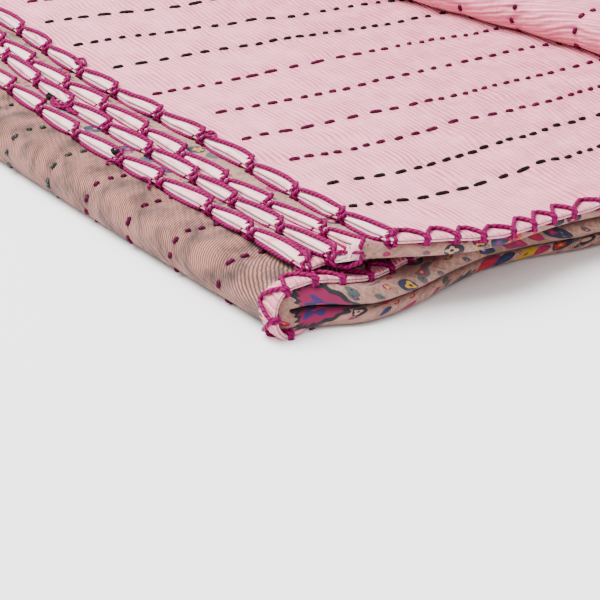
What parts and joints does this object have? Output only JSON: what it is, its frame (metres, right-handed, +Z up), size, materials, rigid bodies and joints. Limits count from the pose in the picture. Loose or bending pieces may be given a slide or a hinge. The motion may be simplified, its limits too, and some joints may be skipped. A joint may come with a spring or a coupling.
{
  "type": "folded quilted throw blanket",
  "caption": "Hand-stitched cotton quilt, pink on one face and printed taupe on the other, folded flat with a turned-back flap and whip-stitched edges.",
  "frame": {"origin": "centre of the folded quilt's plan, on the surface it lies on", "axes": "+X along the rows of running stitch, from the big left fold to the right fold; +Y from the sewn front edges to the back folds; +Z up"},
  "size_m": [0.42, 0.3207, 0.0291],
  "materials": {
    "face_cotton": "matt plain-woven cotton, pale pink",
    "edge_thread": "two-ply mercerised cotton thread, magenta",
    "dark_thread": "stranded cotton thread, near black and grey green"
  },
  "bodies": {
    "root": {"quilt": "face_cotton"}
  },
  "joints": []
}
